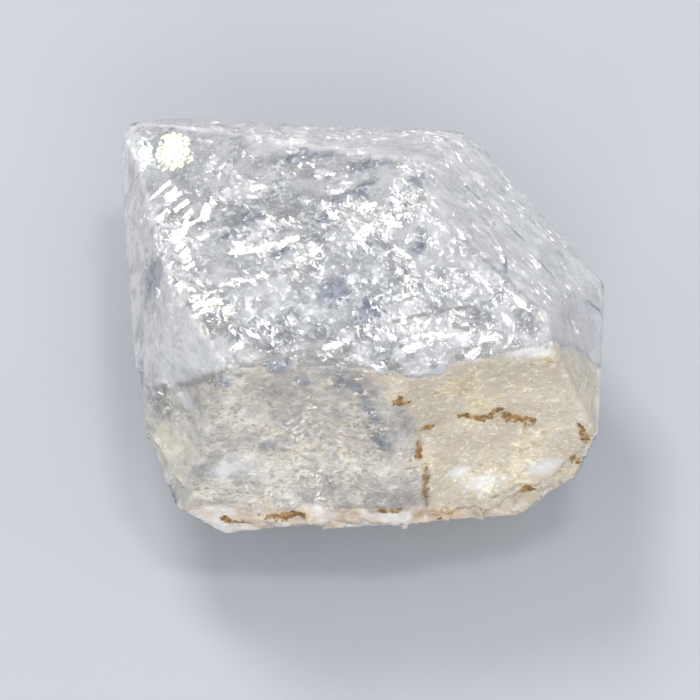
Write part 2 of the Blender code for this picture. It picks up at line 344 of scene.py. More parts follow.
# Single bright growth planes: the pixel, the half-length and half-width in millimetres, and the
# turn of the length from the photograph's right, counter-clockwise in degrees.
FLASHES = (
    ((206, 305), 1.05, 0.55, 20),
    ((200, 328), 1.30, 0.30, -62),
    ((228, 312), 0.50, 0.30, 60),
    ((176, 306), 0.50, 0.28, 70),
    ((262, 246), 0.95, 0.24, 16),
    ((288, 240), 0.80, 0.20, 20),
    ((238, 250), 0.60, 0.20, 10),
    ((182, 228), 0.60, 0.28, 68),
    ((204, 212), 0.70, 0.26, 74),
    ((256, 186), 0.50, 0.16, 8),
    ((364, 232), 0.60, 0.22, 24),
    ((393, 222), 0.55, 0.20, -12),
    ((366, 206), 0.60, 0.26, 20),
    ((403, 296), 0.80, 0.16, 14),
    ((438, 335), 1.20, 0.22, 3),
    ((492, 338), 0.90, 0.20, 4),
    ((410, 348), 0.70, 0.26, 10),
    ((527, 355), 0.55, 0.14, 6),
    ((331, 346), 0.50, 0.16, 12),
    ((471, 356), 0.50, 0.30, 40),
    ((500, 252), 0.50, 0.10, -52),
    ((520, 300), 0.70, 0.16, -40),
    ((478, 178), 0.40, 0.14, -50),
    ((548, 318), 0.50, 0.12, -48),
    ((536, 262), 0.40, 0.10, -50),
    ((568, 300), 0.50, 0.20, -20),
    ((555, 345), 0.60, 0.14, 10),
    ((236, 346), 0.50, 0.16, 30),
    ((360, 392), 0.60, 0.14, -48),
    ((352, 410), 0.50, 0.12, -48),
    ((262, 378), 0.40, 0.12, 30),
)

# Two flares near the point of the crystal, where a thin film throws back light of one colour:
# the pixel and the radius in millimetres.
GREEN_FLARE = ((136, 153), 0.72)
YELLOW_FLARE = ((172, 149), 0.85)
FLARE_FILMS = 150

# Rows of growth bars beside the ridge: pixels of the row's two ends, and how many bars it has. They
# rise to the photograph's right by so many degrees, and are so many times larger than the others.
BAR_ROWS = (
    ((133, 184), (180, 292), 17),
    ((146, 180), (192, 270), 12),
    ((160, 178), (205, 240), 8),
)
BAR_RISE = 36.0
BAR_GROWTH = 1.4

# The upper edge of the clay in the photograph, as pixel columns and rows, and the left edge of the
# warm clay, as rows and columns.
CLAY_EDGE = (
    (100, 380), (133, 376), (150, 392), (215, 375), (255, 360), (300, 352), (340, 357),
    (365, 368), (400, 374), (440, 374), (455, 352), (500, 342), (570, 340), (604, 366),
)
WARM_EDGE = ((340, 330), (362, 345), (420, 412), (505, 427))

# Pixel rows and columns of the photograph over which marks come in, towards the bottom or the right.
# The rim's slanting side runs where the column plus half the row is constant.
HAZE_ROWS = (245.0, 330.0)
VEIL_ROWS = (250.0, 330.0)
OLIVE_ROWS = (395.0, 450.0)
RIM_ROWS = (500.0, 512.0)
RIM_SLANT = (806.0, 816.0)
BAND_COLUMNS = (200.0, 330.0)
# Columns over which the painted shade below the clay's edge comes in.
SHADE_COLUMNS = (235.0, 275.0)
# Heights of the underside's clay and of the rim's lower end, in millimetres.
UNDERSIDE = (3.0, 8.5)
RIM_FOOT = (2.0, 5.0)
# Rows below the clay's edge at which the milky band and the grey and the warm painted shade lie,
# and how many rows they spread.
BAND_SPREAD = (-15.0, 13.0)
SHADE_SPREAD = (34.0, 34.0)
WARM_SHADE_SPREAD = (25.0, 30.0)

# Marks that the surface carries for its material, each from 0 to 1. The last is painted shade below
# the clay's edge; the frost on the two ends is painted light, and the crack lines along the step
# and the crease are painted shade.
MARKS = ("clay", "warm", "olive", "rim", "milk", "frost", "iron", "crack", "satin", "dusk")

# Seeds of the features inside the quartz.
SEEDS = {"veils": 2101, "glints": 3307, "windows": 4409, "clay": 5501, "bars": 6151, "flares": 7207}

# Soft boxes: the name, the place, the width, the height, the property with its power and its colour.
KEY_PLACE = np.array([-90.0, 190.0, 260.0])
FRONT_PLACE = np.array([-40.0, -260.0, 70.0])
SOFT_BOXES = (
    ("key_softbox", KEY_PLACE, 100, 80, "key_power", (1.0, 0.985, 0.96)),
    ("top_softbox", (60, 40, 330), 55, 55, "top_power", (1.0, 1.0, 1.0)),
    ("fill_softbox", (50, -220, 150), 180, 180, "fill_power", (0.93, 0.96, 1.0)),
    ("front_softbox", FRONT_PLACE, 50, 30, "front_power", (1.0, 0.99, 0.97)),
)
LIT_POINT = (0.0, 0.0, 8.0)
FLOOR_HALF_WIDTH = 900.0
FLOOR_DROP = 0.02


def length_property(name, description, default, low=0.0, high=1.0):
    """A property for a length in millimetres."""
    description += ", in millimetres"
    return FloatProperty(name=name, description=description, default=default, min=low, max=high)


def colour_property(name, description, default):
    """A property for a colour, kept as an sRGB triple."""
    return FloatVectorProperty(name=name, description=description, subtype="COLOR", default=default)


def power_property(name, description, default):
    """A property for a light's power in watts."""
    return FloatProperty(name=name, description=description, default=default, unit="POWER")


class CrystalForm(bpy.types.PropertyGroup):
    """Sizes of the crystal's surface."""

    cells: IntProperty(
        name="Cells",
        description="Cells along each side of the cube whose net covers the crystal",
        default=127,
        min=8,
        max=128,
    )
    edge_blend: length_property("Edge blend", "How softly faces run into each other", 0.15, low=0.02)
    rim_grain: length_property("Rim grain", "How far the broken rim's grains stand in or out", 0.24)
    face_waviness: length_property("Waviness", "How far the grown faces swell and dip", 0.035, high=0.5)


class QuartzLook(bpy.types.PropertyGroup):
    """Colours of the quartz, its clay and its iron, and how much light it takes up."""

    clear: colour_property("Clear quartz", "Tint of the clear quartz", (0.97, 0.975, 0.985))
    milk: colour_property("Milky quartz", "Colour of cloudy quartz", (0.945, 0.945, 0.95))
    clay: colour_property("Clay", "Colour of clay in the broken faces", (0.775, 0.70, 0.56))
    iron: colour_property("Iron stain", "Colour of the iron stains", (0.63, 0.48, 0.27))
    absorption: FloatProperty(
        name="Absorption", description="Density of the quartz's faint tint, per metre", default=9.0, min=0.0
    )


class InclusionForm(bpy.types.PropertyGroup):
    """Counts of the features inside the quartz, before those in the wrong place are dropped."""

    veil_flakes: IntProperty(name="Veil flakes", description="White flakes in the veils", default=52000)
    glints: IntProperty(name="Glints", description="Mirror-bright flakes near the faces", default=15000)
    clay_flakes: IntProperty(name="Clay flakes", description="Tan flakes in the lower half", default=30000)


class StageForm(bpy.types.PropertyGroup):
    """Floor, lights and the even light all round."""

    floor_colour: colour_property("Floor", "Colour of the plain floor", (0.64, 0.65, 0.67))
    key_power: power_property("Key light", "Power of the main softbox", 0.64)
    fill_power: power_property("Fill light", "Power of the fill softbox", 0.32)
    top_power: power_property("Top light", "Power of the small top softbox", 0.22)
    front_power: power_property("Front light", "Power of the small low front softbox", 0.11)
    sky: FloatProperty(name="Room light", description="Strength of the even light all round", default=0.92)


def face_axes():
    """Every face's normal, across and upslope directions and its distance, as arrays.

    A normal is the unit vector at the face's heading and elevation, across is level and a quarter
    turn counter-clockwise from the heading, and upslope is the normal crossed with across.
    """
    table = np.array(list(FACES.values()), dtype=float)
    heading, elevation = np.radians(table[:, 0]), np.radians(table[:, 1])
    level = np.cos(elevation)
    normals = np.stack([level * np.cos(heading), level * np.sin(heading), np.sin(elevation)], axis=1)
    across = np.stack([-np.sin(heading), np.cos(heading), np.zeros_like(heading)], axis=1)
    return normals, across, np.cross(normals, across), table[:, 2]


NORMALS, ACROSS, UPSLOPE, DISTANCES = face_axes()


def smooth_step(value, low, high):
    """Rise from 0 at low to 1 at high along the cubic 3x squared minus 2x cubed."""
    share = np.clip((value - low) / (high - low), 0.0, 1.0)
    return share * share * (3.0 - 2.0 * share)


def bell(value, middle, spread):
    """1 at the middle and falling off to both sides: exp of minus the squared share of the spread."""
    return np.exp(-np.square((value - middle) / spread))


def unit(vectors):
    """Vectors scaled to unit length."""
    return vectors / np.linalg.norm(vectors, axis=-1, keepdims=True)


def grain(points, cell, seed):
    """Smooth noise from -1 to 1: random values on a lattice, blended along each axis in turn."""
    size = 32
    lattice = np.random.default_rng(seed).uniform(-1.0, 1.0, (size, size, size))
    place = np.asarray(points) / cell
    corner = np.floor(place).astype(int)
    part = place - corner
    part = part * part * (3.0 - 2.0 * part)
    total = np.zeros(len(place))
    for offset in np.ndindex(2, 2, 2):
        index = (corner + offset) % size
        weight = np.prod(np.where(np.array(offset) == 1, part, 1.0 - part), axis=1)
        total += weight * lattice[index[:, 0], index[:, 1], index[:, 2]]
    return total


def turned(across, upslope, degrees):
    """Places measured along and beside a direction turned counter-clockwise by so many degrees."""
    cosine, sine = math.cos(math.radians(degrees)), math.sin(math.radians(degrees))
    return across * cosine + upslope * sine, upslope * cosine - across * sine


def rows_of(table, face):
    """A face's rows in a table of relief, without the face's name."""
    return [row[1:] for row in table if row[0] == FACE_NAMES[face]]


def edge_distance(face, points):
    """Distances in the plane of a face from points on it to the lines that cut off its sides.

    Against each other face it is that face's distance less the point's reach along its normal,
    over the sine of the angle between the two faces. Against itself it is infinite.
    """
    cosine = NORMALS @ NORMALS[face]
    sine = np.sqrt(np.clip(1.0 - cosine**2, 1e-6, None))
    gaps = (DISTANCES - points @ NORMALS.T) / sine
    gaps[:, face] = np.inf
    return gaps


def plate_relief(face, points, gaps):
    """Sum of the growth plates: each is the face's outline drawn in towards its middle."""
    height = np.zeros(len(points))
    wobble = 0.16 * grain(points, 1.4, 11 + face) + 0.06 * grain(points, 0.45, 31 + face)
    for middle_across, middle_upslope, share, rise in rows_of(PLATES, face):
        middle = NORMALS[face] * DISTANCES[face]
        middle = middle + ACROSS[face] * middle_across + UPSLOPE[face] * middle_upslope
        inner = gaps - (1.0 - share) * edge_distance(face, middle[None, :])
        inner[:, face] = np.inf
        height += rise * smooth_step(inner.min(axis=1) + wobble, -0.08, 0.10)
    return height


def scar_relief(face, across, upslope):
    """Shell-shaped hollows: depth times one minus the squared reach, with low rings round them."""
    height = np.zeros(len(across))
    for middle_across, middle_upslope, half_width, half_height, depth in rows_of(SCARS, face):
        reach = np.hypot((across - middle_across) / half_width, (upslope - middle_upslope) / half_height)
        hollow = -depth * (1.0 - reach**2)
        rings = RING_HEIGHT * np.sin(reach * (half_width + half_height) * math.pi / RING_WIDTH)
        hollow = np.where(reach < 1.0, hollow + rings * (1.0 - reach) * 2.0 * reach, 0.0)
        height = np.minimum(height, hollow)
    return height


def ledge_relief(face, points, across, upslope):
    """Flat-floored chips: a turned rectangle with grained sides, sunk by its bite and leaning."""
    height = np.zeros(len(across))
    wobble = 0.22 * grain(points, 0.7, 71 + face)
    for middle_across, middle_upslope, length, tall, bite, turn, lean in rows_of(LEDGES, face):
        along, up = turned(across - middle_across, upslope - middle_upslope, turn)
        inside = np.minimum(length / 2 - np.abs(along), tall / 2 - np.abs(up)) + wobble
        floor = np.minimum(up * math.tan(math.radians(lean)) - bite, 0.0)
        height = np.minimum(height, floor * smooth_step(inside, -0.10, 0.12))
    return height


def pit_relief(face, across, upslope):
    """Triangular pits: three half-planes at 120 degrees, sunk by the pit's depth."""
    height = np.zeros(len(across))
    for middle_across, middle_upslope, radius, depth in rows_of(PITS, face):
        inside = np.full(len(across), np.inf)
        for side in range(3):
            way = PIT_TURN + 60 + 120 * side
            reach, _ = turned(across - middle_across, upslope - middle_upslope, way)
            inside = np.minimum(inside, radius / 2 - reach)
        height = np.minimum(height, -depth * smooth_step(inside, -0.05, 0.22))
    return height


def growth_steps(face, across, upslope, gaps):
    """Rows of low saw-tooth steps along the ridge between the main and left apex faces."""
    name = FACE_NAMES[face]
    if name not in ("apex_main", "apex_left"):
        return np.zeros(len(across))
    other = FACE_NAMES.index("apex_left" if name == "apex_main" else "apex_main")
    near = 1.0 - smooth_step(gaps[:, other], *STEP_FADE)
    tooth = ((across * STEP_WAY[0] + upslope * STEP_WAY[1]) / STEP_WIDTH) % 1.0
    return near * STEP_HEIGHT * (tooth - 0.5) * smooth_step(tooth, 0.0, 0.15)


def relief(face, points, rim_grain, face_waviness):
    """How far each point of a face stands above its plane: plates, hollows, chips, pits, grain."""
    name = FACE_NAMES[face]
    if name == "base":
        return np.zeros(len(points))
    across, upslope = points @ ACROSS[face], points @ UPSLOPE[face]
    gaps = edge_distance(face, points)
    height = plate_relief(face, points, gaps) + growth_steps(face, across, upslope, gaps)
    height += pit_relief(face, across, upslope)
    scars = scar_relief(face, across, upslope)
    height = np.where(scars < 0.0, np.minimum(height, scars), height)
    height = np.minimum(height, ledge_relief(face, points, across, upslope))
    height += face_waviness * (grain(points, 3.0, 3) + 0.5 * grain(points, 1.1, 5))
    if name in BROKEN_FACES:
        rim = 1.0 - smooth_step(upslope, *RIM_TOP)
        if name == "front_left":
            rim *= smooth_step(across, *RIM_LEFT)
        coarse = grain(points, 0.9, 41) + 0.6 * grain(points, 0.4, 43)
        height += rim_grain * rim * np.minimum(coarse, 0.25)
        height += 0.03 * grain(points, 0.5, 47)
    return height


def plane_lengths(directions):
    """How far along each direction from the centre each plane lies, and normal dot direction."""
    facing = directions @ NORMALS.T
    return np.where(facing > LEAST_FACING, DISTANCES / np.maximum(facing, LEAST_FACING), FAR), facing


def cube_net(cells):
    """Unit directions on the six sides of a cube, evenly spread by angle, and the quads between.

    Each side is one flat grid: a square of tangents of equal angles, pushed out to the sphere.
    Shared borders are welded by matching equal directions.
    """
    ticks = np.tan(np.linspace(-math.pi / 4, math.pi / 4, cells + 1))
    rows, columns = (grid.ravel() for grid in np.meshgrid(ticks, ticks, indexing="ij"))
    directions = np.zeros((6, rows.size, 3))
    for side, (axis, sign, row_axis, column_axis) in enumerate(SIDES):
        directions[side, :, axis] = sign
        directions[side, :, row_axis] = rows
        directions[side, :, column_axis] = columns
    directions = unit(directions.reshape(-1, 3))
    row, column = np.meshgrid(np.arange(cells), np.arange(cells), indexing="ij")
    first = (row * (cells + 1) + column).ravel()
    quad = np.stack([first, first + cells + 1, first + cells + 2, first + 1], axis=1)
    quads = np.concatenate([quad + side * (cells + 1) ** 2 for side in range(6)])
    _, keep, back = np.unique(np.round(directions, 6), axis=0, return_index=True, return_inverse=True)
    return directions[keep], back.ravel()[quads]


@functools.cache
def crystal_shell(cells, edge_blend, rim_grain, face_waviness):
    """The crystal's surface: its net, its points and radii, the faces met, and the gap between.

    Along a direction, face k is met at (distance + relief) over (normal dot direction). The
    surface is the smooth least of these: minus the blend times the log of the sum of
    exp(-length / blend). The blend is greater near the crystal's worn point.
    """
    directions, quads = cube_net(cells)
    plain, facing = plane_lengths(directions)
    nearest = plain.min(axis=1)
    lengths = plain.copy()
    for face in range(len(FACE_NAMES)):
        close = plain[:, face] < nearest + RELIEF_REACH
        points = directions[close] * plain[close, face, None]
        lengths[close, face] += relief(face, points, rim_grain, face_waviness) / facing[close, face]
    least = lengths.min(axis=1)
    point, _ = on_crystal([POINT_PIXEL])
    away = np.linalg.norm(directions * least[:, None] + CENTRE - point[0], axis=1)
    order = np.argsort(lengths, axis=1)[:, :2]
    ridge = np.isin(np.array(FACE_NAMES)[order], GROWN_FACES).all(axis=1)
    blend = (edge_blend + RIDGE_BLEND * ridge + POINT_BLEND * bell(away, 0.0, POINT_REACH))[:, None]
    radii = least - blend[:, 0] * np.log(np.exp(-(lengths - least[:, None]) / blend).sum(axis=1))
    gap = np.diff(np.take_along_axis(lengths, order, axis=1), axis=1)[:, 0]
    points = CENTRE + directions * radii[:, None]
    points[:, 2] = np.maximum(points[:, 2], 0.0)
    return Shell(cells, quads, points, radii, order, gap)


def shell_of(form):
    """The shell for a property group's sizes, worked out once and kept."""
    return crystal_shell(form.cells, form.edge_blend, form.rim_grain, form.face_waviness)


def surface_radius(shell, directions):
    """Least radius of the net's cell that each direction falls in.

    The direction's longest axis gives the side, and the arc tangents of the other two over it give
    the row and the column.
    """
    axis = np.abs(directions).argmax(axis=1)
    longest = np.take_along_axis(directions, axis[:, None], axis=1)[:, 0]
    side = axis * 2 + (longest < 0)
    table = np.array(SIDES)[side]
    cell = []
    for column in (2, 3):
        ratio = np.take_along_axis(directions, table[:, column, None], axis=1)[:, 0] / np.abs(longest)
        place = (np.arctan(ratio) / (math.pi / 2) + 0.5) * shell.cells
        cell.append(np.clip(place.astype(int), 0, shell.cells - 1))
    quad = (side * shell.cells + cell[0]) * shell.cells + cell[1]
    return shell.radii[shell.quads[quad]].min(axis=1)


def under_surface(shell, points, depths, faces):
    """Points moved along their direction from the centre to the surface, then in by their depth."""
    directions = unit(points - CENTRE)
    surface = CENTRE + directions * surface_radius(shell, directions)[:, None]
    return surface - NORMALS[faces] * depths[:, None]


def room(shell, points):
    """How far points lie below the surface, along their direction from the crystal's centre."""
    away = points - CENTRE
    distance = np.linalg.norm(away, axis=1)
    return surface_radius(shell, away / distance[:, None]) - distance


def sight_lines(pixels):
    """Start and unit directions of the photograph's sight lines through its pixels."""
    offsets = (np.atleast_2d(pixels) - PHOTO_PIXELS / 2) / (VIEW_DISTANCE / MM_PER_PIXEL)
    return VIEW_START, unit(VIEW_FORWARD + offsets[:, :1] * VIEW_RIGHT - offsets[:, 1:] * VIEW_UP)


def on_crystal(pixels):
    """Where the sight lines through pixels meet the crystal's plane faces, and which faces.

    A line enters a convex solid at the greatest distance at which it crosses a plane that faces it.
    """
    start, lines = sight_lines(pixels)
    slope = lines @ NORMALS.T
    span = DISTANCES + CENTRE @ NORMALS.T - start @ NORMALS.T
    crossing = np.where(slope < -1e-6, span / np.where(slope < -1e-6, slope, 1.0), -np.inf)
    face = crossing.argmax(axis=1)
    return start + lines * crossing.max(axis=1)[:, None], face


def pixels_of(points):
    """Pixels of the photograph at which points in the crystal's space are seen."""
    away = points - VIEW_START
    scale = VIEW_DISTANCE / MM_PER_PIXEL / (away @ VIEW_FORWARD)
    middle = PHOTO_PIXELS / 2
    return np.stack([middle + away[:, 0] * scale, middle - away @ VIEW_UP * scale], axis=1)


def spot_share(points, pixel, half_length, half_width, turn, softness=0.4, power=2.0):
    """1 inside a spot on the crystal's face, falling to 0 at its grained edge.

    The spot is an ellipse at a power of 2, and nearer to a rectangle at greater powers.
    """
    middle, face = on_crystal([pixel])
    along, _ = turned(ACROSS[face[0]], UPSLOPE[face[0]], turn)
    beside = np.cross(NORMALS[face[0]], along)
    away = points - middle[0]
    reach = np.abs(away @ along / half_length) ** power + np.abs(away @ beside / half_width) ** power
    reach = reach ** (1.0 / power)
    reach += 0.35 * grain(points, 0.45, 91) + 0.25 * grain(points, 0.2, 93)
    reach += 0.1 * np.abs(away @ NORMALS[face[0]])
    return 1.0 - smooth_step(reach, 0.9 - softness, 1.0 + softness)


def line_share(points, pixels, half_width):
    """1 on a crack or a painted shade line: the least distance to its straight stretches."""
    line, _ = on_crystal(pixels)
    share = np.zeros(len(points))
    for start, end in zip(line[:-1], line[1:]):
        run = end - start
        along = np.clip((points - start) @ run / (run @ run), 0.0, 1.0)
        gap = np.linalg.norm(points - start - along[:, None] * run, axis=1)
        gap += 0.06 * grain(points, 0.4, 97)
        share = np.maximum(share, 1.0 - smooth_step(gap, half_width, half_width + 0.14))
    return share


def spots_share(points, spots, **edge):
    """The most that any of some spots gives at each point."""
    share = np.zeros(len(points))
    for spot in spots:
        share = np.maximum(share, spot_share(points, *spot[:4], **edge))
    return share


def window_share(points):
    """1 over the slate windows and 0 away from them."""
    return spots_share(points, WINDOWS, power=5.0)


def glint_density(pixels):
    """How thickly the glints lie at pixels of the photograph: the sum of a few soft ellipses."""
    density = np.zeros(len(pixels))
    for middle, half_length, half_width, turn in GLINT_BANDS:
        away = (pixels - np.array(middle)) * MM_PER_PIXEL
        along, beside = turned(away[:, 0], away[:, 1], -turn)
        density += np.exp(-np.square(along / half_length) - np.square(beside / half_width))
    return np.minimum(density, 1.0)


def clay_boundary(column):
    """Row in the photograph of the upper edge of the clay at each pixel column."""
    return np.interp(column, *zip(*CLAY_EDGE))


def streaks(name, points, fine, seed):
    """Noise drawn out along a face's level direction, as growth lines are, and bent by softer noise."""
    face = FACE_NAMES.index(name)
    bend = grain(points, 1.8, seed + 100) + 0.4 * grain(points, 0.6, seed + 101)
    up = points @ UPSLOPE[face] + 0.7 * bend
    local = np.stack([points @ ACROSS[face] / 4.0 + 0.8 * bend, up, 0.5 * bend], axis=1)
    return 0.7 * grain(local, fine, seed) + 0.5 * grain(local, 0.45 * fine, seed + 102)


def surface_marks(points, order, gap):
    """The marks at each point of the surface, by name.

    Each is made of smooth steps: over how far below the clay's edge a point is seen, over its pixel
    or height, over noise and over the width of worn edges, each on the faces that carry it.
    """
    names, beside = np.array(FACE_NAMES)[order].T
    column, row = pixels_of(points).T
    cloud = smooth_step(grain(points, 2.4, 57) + 0.5 * grain(points, 0.8, 59), -0.25, 0.55)
    mosaic = smooth_step(grain(points, 1.3, 75) + 0.5 * grain(points, 0.5, 77), -0.35, 0.35)
    front = np.isin(names, BROKEN_FACES)
    foot = np.isin(names, ("low_front", "low_end"))
    side = np.isin(names, ("prism_left", "apex_left", "end_right"))
    lower = np.isin(names, LOWER_FACES)
    left = names == "prism_left"
    window = window_share(points)

    # Clay lies below its edge on the front, thinner on the sides and in patches on the lower faces.
    # It is warm towards the right and olive at the lower left.
    below = row - clay_boundary(column) + 5.0 * grain(points, 0.7, 51)
    started = smooth_step(below, -1.0, 3.0)
    past = column - np.interp(row, *zip(*WARM_EDGE)) + 6.0 * grain(points, 0.8, 73)
    right = smooth_step(past, -9.0, 12.0)
    olive = smooth_step(row, *OLIVE_ROWS) * left
    clay = started * (front | foot) * (0.86 + 0.14 * right)
    clay += smooth_step(below, -2.0, 10.0) * side * (0.62 + 0.3 * cloud + 0.3 * (names == "end_right"))
    patches = smooth_step(grain(points, 3.2, 53) + 0.4 * grain(points, 1.0, 55), 0.05, 0.55)
    hidden = lower * (1.0 - smooth_step(points[:, 2], *UNDERSIDE))
    clay = np.clip(clay + hidden * patches * 0.7, 0.0, 1.0)

    # The rim is the bottom of the front and its slanting lower right, and runs on below.
    rim = front * smooth_step(row + 6.0 * grain(points, 0.9, 63), *RIM_ROWS)
    slant = column + 0.5 * row + 5.0 * grain(points, 0.8, 65)
    rim = np.maximum(rim, front * smooth_step(slant, *RIM_SLANT))
    rim = np.maximum(rim, 0.8 * foot * smooth_step(points[:, 2], *RIM_FOOT))

    # Milk is a band above the clay, a haze on the grown faces, streaks on the bevel, and clouds.
    band = bell(below, *BAND_SPREAD) * smooth_step(column, *BAND_COLUMNS)
    wide = smooth_step(row, *HAZE_ROWS) * (below < 0.0)
    haze = 0.28 + 0.14 * cloud + 0.28 * mosaic + 0.50 * (names == "apex_left")
    haze += 0.48 * left * (below < 0)
    milk = np.maximum(0.50 * band * (0.55 + 0.45 * cloud), haze + 0.22 * wide * cloud)
    milk *= np.isin(names, GROWN_FACES)
    bevel = 0.74 + 0.16 * mosaic + 0.12 * streaks("prism_right", points, 0.35, 67)
    bevel *= np.isin(names, ("prism_right", "end_right"))
    milk = np.maximum(milk, bevel) * (1.0 - 0.85 * clay * side)
    milk = np.maximum(milk, 0.8 * front * (1.0 - started))
    milk = np.maximum(milk, (0.10 + 0.42 * cloud) * (lower | (names == "low_front")))
    milk *= 1.0 - 0.8 * window
    clay *= 1.0 - 0.65 * window
    milk = np.maximum(milk, spots_share(points, CLOUDS, softness=0.75))

    # Frost is on worn edges and on the strip behind the point. On both ends where no clay is, the
    # same white is painted light, which lightens the two end faces.
    edge = np.isin(beside, LOWER_FACES + ("base", "apex_back")) & ~lower
    width = np.where(edge, np.where(front | left, 0.30, 0.85), 0.35)
    most = np.where(edge, np.where(front, 0.45, np.where(names == "low_front", 0.15, 0.9)), 0.15)
    frost = most * (1.0 - smooth_step(gap + 0.35 * grain(points, 0.6, 61), 0.0, width))
    strip = 0.60 + 0.14 * streaks("apex_back", points, 0.3, 69) + 0.12 * mosaic
    strip *= names == "apex_back"
    frost = np.clip(np.maximum(frost, strip), 0.0, 1.0)
    # Painted light: the two end faces are whitened where no clay is.
    ends = np.isin(names, ("apex_left", "end_right"))
    frost = np.maximum(frost, 0.62 * ends * (1.0 - clay) * (1.0 - window))

    # Dark lines: cracks, and painted shade along the step and the crease.
    crack = np.zeros(len(points))
    for pixels, half_width, strength in CRACK_AND_SHADE_LINES:
        crack = np.maximum(crack, strength * line_share(points, pixels, half_width))
    satin = np.clip(0.85 * clay * right + 0.65 * bevel + 0.6 * strip, 0.0, 1.0)

    # Painted shade: the clay is darkened in a patchy band just below its upper edge,
    # grey at the left and warm at the right.
    dusk = bell(below, *SHADE_SPREAD) * smooth_step(column, *SHADE_COLUMNS)
    dusk *= front * (1.0 - right)
    dusk = np.maximum(dusk, 0.55 * right * front * bell(below, *WARM_SHADE_SPREAD))
    dusk *= 0.55 + 0.45 * mosaic

    iron = spots_share(points, STAINS, softness=0.7)
    warm = np.maximum(right, olive)
    milk = np.clip(milk, 0.0, 1.0)
    return dict(zip(MARKS, (clay, warm, olive, rim, milk, frost, iron, crack, satin, dusk)))


def new_mesh(name, points, faces, marks=None, smooth=False):
    """Make an object from points in millimetres and an array of faces with equal side counts."""
    mesh = bpy.data.meshes.new(name)
    count, sides = faces.shape
    mesh.vertices.add(len(points))
    mesh.vertices.foreach_set("co", (np.asarray(points) * MM).astype(np.float32).ravel())
    mesh.loops.add(count * sides)
    mesh.loops.foreach_set("vertex_index", faces.astype(np.int32).ravel())
    mesh.polygons.add(count)
    mesh.polygons.foreach_set("loop_start", np.arange(count, dtype=np.int32) * sides)
    mesh.update(calc_edges=True)
    mesh.polygons.foreach_set("use_smooth", np.full(count, smooth))
    for mark, values in (marks or {}).items():
        attribute = mesh.attributes.new(mark, "FLOAT", "POINT")
        attribute.data.foreach_set("value", values.astype(np.float32))
    piece = bpy.data.objects.new(name, mesh)
    bpy.context.scene.collection.objects.link(piece)
    return piece


def linear(colour):
    """sRGB hex number, or an sRGB triple from a property, as a linear colour with alpha."""
    if isinstance(colour, int):
        colour = [(colour >> shift & 255) / 255 for shift in (16, 8, 0)]
    return (*[c / 12.92 if c <= 0.04045 else ((c + 0.055) / 1.055) ** 2.4 for c in colour], 1.0)


def add_node(tree, kind, inputs=None, **settings):
    """Add a node, set its properties, and set or link each of its named inputs."""
    node = tree.nodes.new(kind)
    for name, value in settings.items():
        setattr(node, name, value)
    for socket, value in (inputs or {}).items():
        if isinstance(value, bpy.types.NodeSocket):
            tree.links.new(value, node.inputs[socket])
        else:
            node.inputs[socket].default_value = value
    return node


def empty_material(name):
    """Return a new material and its node tree, with nothing but the output left in it."""
    material = bpy.data.materials.new(name)
    material.use_nodes = True
    tree = material.node_tree
    tree.nodes.clear()
    return material, tree, tree.nodes.new("ShaderNodeOutputMaterial")


def per_mm(size):
    """Texture scale, in object metres, of a pattern whose cells measure size millimetres."""
    return 1.0 / (size * MM)


def mixed(tree, share, first, second):
    """Blend two colours by a share. A colour is a socket, an sRGB hex number or an sRGB triple."""
    first, second = (
        colour if isinstance(colour, bpy.types.NodeSocket) else linear(colour) for colour in (first, second)
    )
    inputs = {"Factor": share, 6: first, 7: second}
    return add_node(tree, "ShaderNodeMix", inputs, data_type="RGBA").outputs[2]


def arithmetic(tree, operation, first, second):
    """One Math node on two values or sockets."""
    return add_node(tree, "ShaderNodeMath", {0: first, 1: second}, operation=operation).outputs[0]


def vectors(tree, operation, first, second):
    """One Vector Math node on two vectors or sockets."""
    return add_node(tree, "ShaderNodeVectorMath", {0: first, 1: second}, operation=operation).outputs[0]


def noise(tree, place, size, **inputs):
    """Noise from 0 to 1 with grains of so many millimetres."""
    inputs = {"Vector": place, "Scale": per_mm(size), **inputs}
    return add_node(tree, "ShaderNodeTexNoise", inputs).outputs["Fac"]


def remap(tree, value, low, high, to_low=0.0):
    """A value's range from low to high, moved to the range from to_low to 1 and held inside it."""
    inputs = {"Value": value, "From Min": low, "From Max": high, "To Min": to_low}
    return add_node(tree, "ShaderNodeMapRange", inputs).outputs[0]


def weighed_sum(tree, total, *terms):
    """A value plus terms, each a mark times its weight."""
    for mark, weight in terms:
        total = arithmetic(tree, "ADD", total, arithmetic(tree, "MULTIPLY", mark, weight))
    return total


def weighed_most(tree, most, *terms):
    """The greatest of a value and terms, each a mark times its weight."""
    for mark, weight in terms:
        most = arithmetic(tree, "MAXIMUM", most, arithmetic(tree, "MULTIPLY", mark, weight))
    return most


def overlaid(tree, colour, *layers):
    """A colour under layers, each laid over the ones before by a mark times its weight."""
    for mark, weight, layer in layers:
        share = mark if weight == 1.0 else arithmetic(tree, "MULTIPLY", mark, weight)
        colour = mixed(tree, share, colour, layer)
    return colour


def surface_shader(tree, output, inputs):
    """Finish a material with one Principled node."""
    shader = add_node(tree, "ShaderNodeBsdfPrincipled", inputs)
    tree.links.new(shader.outputs[0], output.inputs["Surface"])


def tilted_facets(tree, place, normal, size, strength):
    """Tilt a normal by the colour of the cell it lies in, so each cell reads as a flat facet."""
    cells = add_node(tree, "ShaderNodeTexVoronoi", {"Vector": place, "Scale": per_mm(size)})
    tilt = vectors(tree, "ADD", cells.outputs["Color"], (-0.5, -0.5, -0.5))
    tilt = add_node(tree, "ShaderNodeVectorMath", {0: tilt, "Scale": strength}, operation="SCALE").outputs[0]
    moved = vectors(tree, "ADD", normal, tilt)
    return add_node(tree, "ShaderNodeVectorMath", {0: moved}, operation="NORMALIZE").outputs[0]


